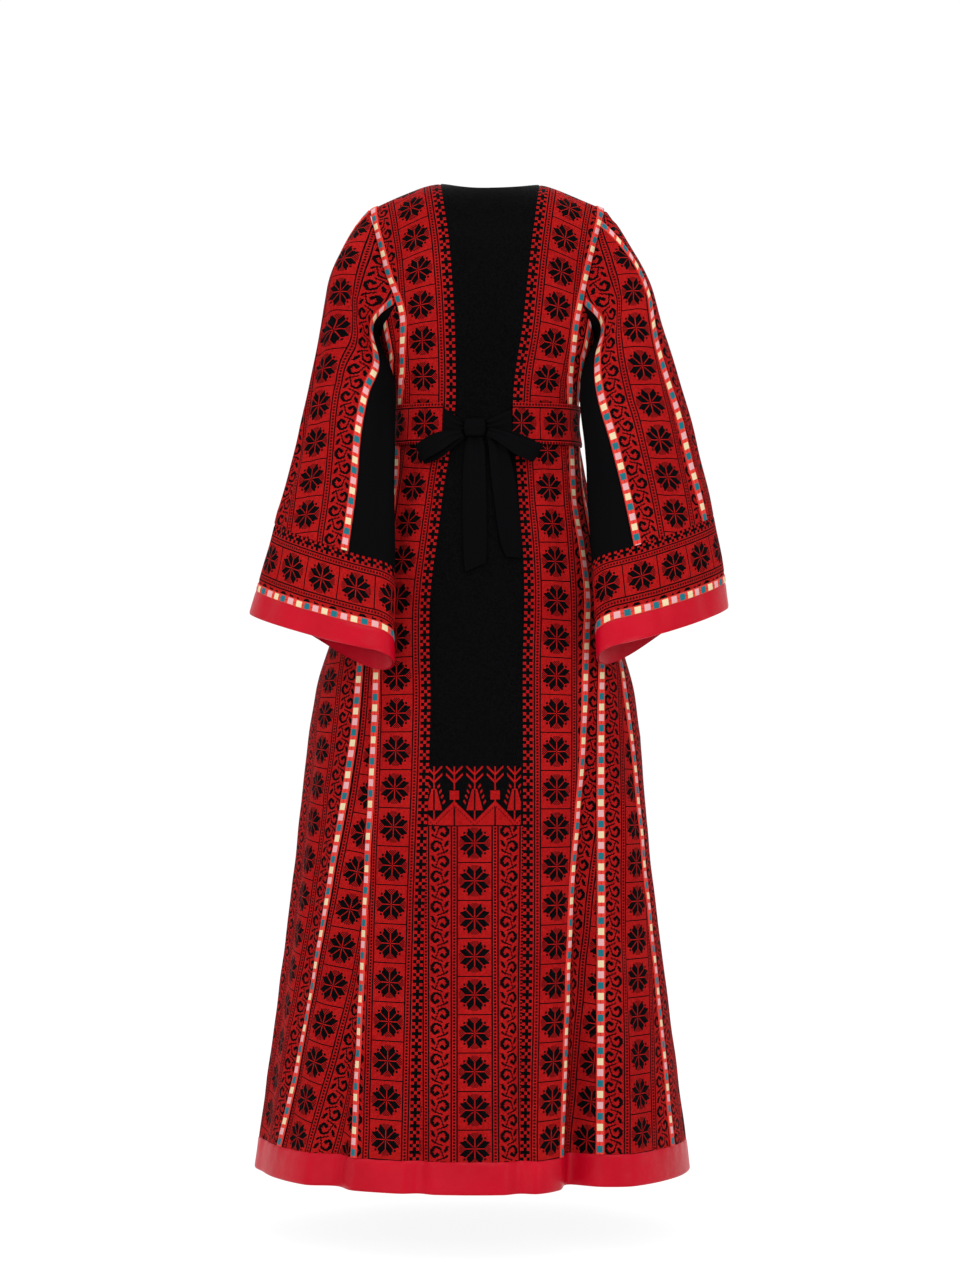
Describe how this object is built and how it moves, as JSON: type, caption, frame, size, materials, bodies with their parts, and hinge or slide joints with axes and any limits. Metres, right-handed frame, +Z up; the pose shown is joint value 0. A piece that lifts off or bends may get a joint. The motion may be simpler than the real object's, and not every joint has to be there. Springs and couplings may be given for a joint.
{
  "type": "palestinian thobe dress",
  "caption": "Long black crepe thobe with panels of red cross-stitch, striped seam tapes, bell sleeves, satin hem and cuffs, and an embroidered belt tied in a bow at the back.",
  "frame": {"origin": "midway between the shoulder seams, level with their neck ends, where the wearer's shoulders hold the dress", "axes": "+Z up along the length, +Y towards the dress's back, +X towards the wearer's left"},
  "size_m": [0.6619, 0.498, 1.3729],
  "materials": {
    "crepe": "matte",
    "embroidery": "matte",
    "tape": "matte",
    "satin": "glossy"
  },
  "bodies": {
    "root": {"back_centre_panel": "crepe", "front_centre_panel": "crepe", "back_side_panel_left": "embroidery", "back_gore_left": "embroidery", "side_panel_left": "embroidery", "front_gore_left": "embroidery", "front_side_panel_left": "embroidery", "back_tape_left": "tape", "gore_tape_left": "tape", "side_tape_left": "tape", "front_tape_left": "tape", "sleeve_back_left": "embroidery", "sleeve_front_left": "embroidery", "sleeve_gusset_left": "crepe", "sleeve_outer_tape_left": "tape", "sleeve_back_tape_left": "tape", "sleeve_front_tape_left": "tape", "cuff_tape_left": "tape", "cuff_band_left": "embroidery", "cuff_hem_left": "satin", "cuff_facing_left": "satin", "belt_strap_left": "crepe", "bow_loop_left": "crepe", "bow_tail_left": "crepe", "back_side_panel_right": "embroidery", "back_gore_right": "embroidery", "side_panel_right": "embroidery", "front_gore_right": "embroidery", "front_side_panel_right": "embroidery", "back_tape_right": "tape", "gore_tape_right": "tape", "side_tape_right": "tape", "front_tape_right": "tape", "sleeve_back_right": "embroidery", "sleeve_front_right": "embroidery", "sleeve_gusset_right": "crepe", "sleeve_outer_tape_right": "tape", "sleeve_back_tape_right": "tape", "sleeve_front_tape_right": "tape", "cuff_tape_right": "tape", "cuff_band_right": "embroidery", "cuff_hem_right": "satin", "cuff_facing_right": "satin", "belt_strap_right": "crepe", "bow_loop_right": "crepe", "bow_tail_right": "crepe", "hem_band_back": "satin", "hem_band_front": "satin", "belt_band": "embroidery", "bow_knot": "crepe"}
  },
  "joints": []
}
